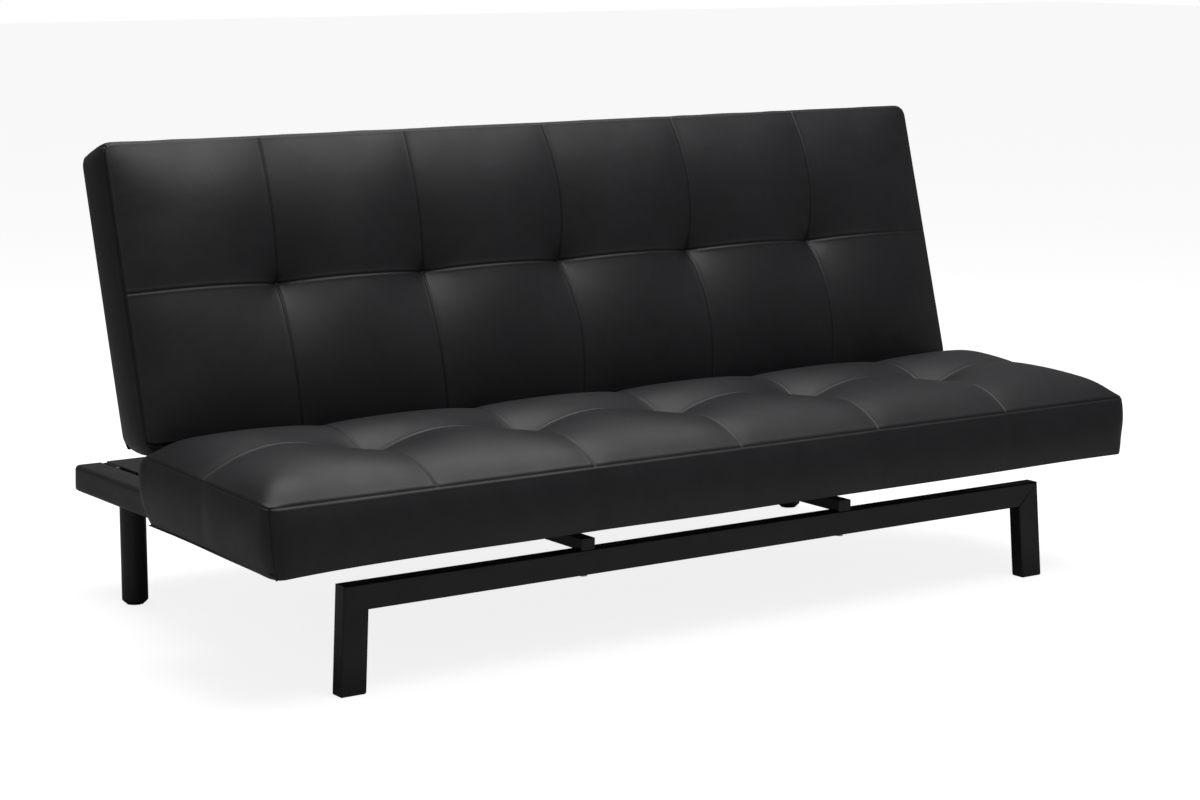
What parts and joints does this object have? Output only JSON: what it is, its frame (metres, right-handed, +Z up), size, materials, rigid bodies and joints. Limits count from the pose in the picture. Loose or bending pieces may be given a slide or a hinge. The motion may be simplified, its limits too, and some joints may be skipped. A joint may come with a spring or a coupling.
{
  "type": "futon sofa bed",
  "caption": "Click-clack sofa bed: tufted leathercloth seat and folding back on a padded rear base with round legs and a steel front bridge frame.",
  "frame": {"origin": "on the floor under the middle of the sofa's overall length and depth", "axes": "+Z up, -Y the way the sitter looks, X along the sofa"},
  "size_m": [1.876, 1.0486, 0.88],
  "materials": {
    "leathercloth": "semi-matte coated leathercloth",
    "foam": "polyurethane foam",
    "timber": "planed pine and hardboard",
    "frame_steel": "black powder coat",
    "fitting_steel": "black zinc-plated pressings",
    "bright_steel": "zinc-plated fasteners and spring wire",
    "black_plastic": "moulded polypropylene",
    "rubber": "moulded rubber",
    "black_felt": "black non-woven cloth"
  },
  "bodies": {
    "base": {"arm_wrap_left": "leathercloth", "arm_wrap_right": "leathercloth", "back_stops": "rubber", "bar_caps": "black_plastic", "beam_bolts": "bright_steel", "beam_nuts": "bright_steel", "bracket_bolts": "bright_steel", "bracket_left": "fitting_steel", "bracket_right": "fitting_steel", "centre_rail": "timber", "deck_board": "black_felt", "front_beam": "frame_steel", "front_foot_left": "black_plastic", "front_foot_right": "black_plastic", "front_leg_left": "frame_steel", "front_leg_right": "frame_steel", "front_rail": "timber", "leg_studs": "bright_steel", "pawl_pins": "bright_steel", "pawl_springs": "bright_steel", "pivot_pins": "bright_steel", "rail_bolts": "bright_steel", "rear_glides": "black_plastic", "rear_leg_left": "black_plastic", "rear_leg_right": "black_plastic", "rear_rail": "timber", "rear_wrap": "leathercloth", "seat_stops": "rubber", "side_rail_left": "timber", "side_rail_right": "timber", "tie_bar_left": "frame_steel", "tie_bar_right": "frame_steel"},
    "seat": {"seat_arm_bolts": "bright_steel", "seat_arm_left": "fitting_steel", "seat_arm_right": "fitting_steel", "seat_cloth": "black_felt", "seat_cover": "leathercloth", "seat_foam": "foam", "seat_ribs": "timber", "seat_springs": "bright_steel", "seat_timber_end_left": "timber", "seat_timber_end_right": "timber", "seat_timber_front": "timber", "seat_timber_rear": "timber", "seat_tuft_ties": "black_plastic"},
    "back": {"back_arm_bolts": "bright_steel", "back_arm_left": "fitting_steel", "back_arm_right": "fitting_steel", "back_cloth": "black_felt", "back_cover": "leathercloth", "back_foam": "foam", "back_ribs": "timber", "back_springs": "bright_steel", "back_timber_bottom": "timber", "back_timber_end_left": "timber", "back_timber_end_right": "timber", "back_timber_top": "timber", "back_tuft_ties": "black_plastic"},
    "pawl_left": {"pawl_left": "fitting_steel"},
    "pawl_right": {"pawl_right": "fitting_steel"}
  },
  "joints": [
    {"name": "seat_lift", "type": "hinge", "parent": "base", "child": "seat", "pos_m": [0, -0.02735, 0.35], "axis": [-1, 0, 0], "range_deg": [0, 35]},
    {"name": "back_fold", "type": "hinge", "parent": "base", "child": "back", "pos_m": [0, -0.02735, 0.35], "axis": [-1, 0, 0], "range_deg": [0, 74]},
    {"name": "pawl_left_swing", "type": "hinge", "parent": "base", "child": "pawl_left", "pos_m": [0, -0.04135, 0.296], "axis": [1, 0, 0], "range_deg": [0, 15]},
    {"name": "pawl_right_swing", "type": "hinge", "parent": "base", "child": "pawl_right", "pos_m": [0, -0.04135, 0.296], "axis": [1, 0, 0], "range_deg": [0, 15]}
  ]
}
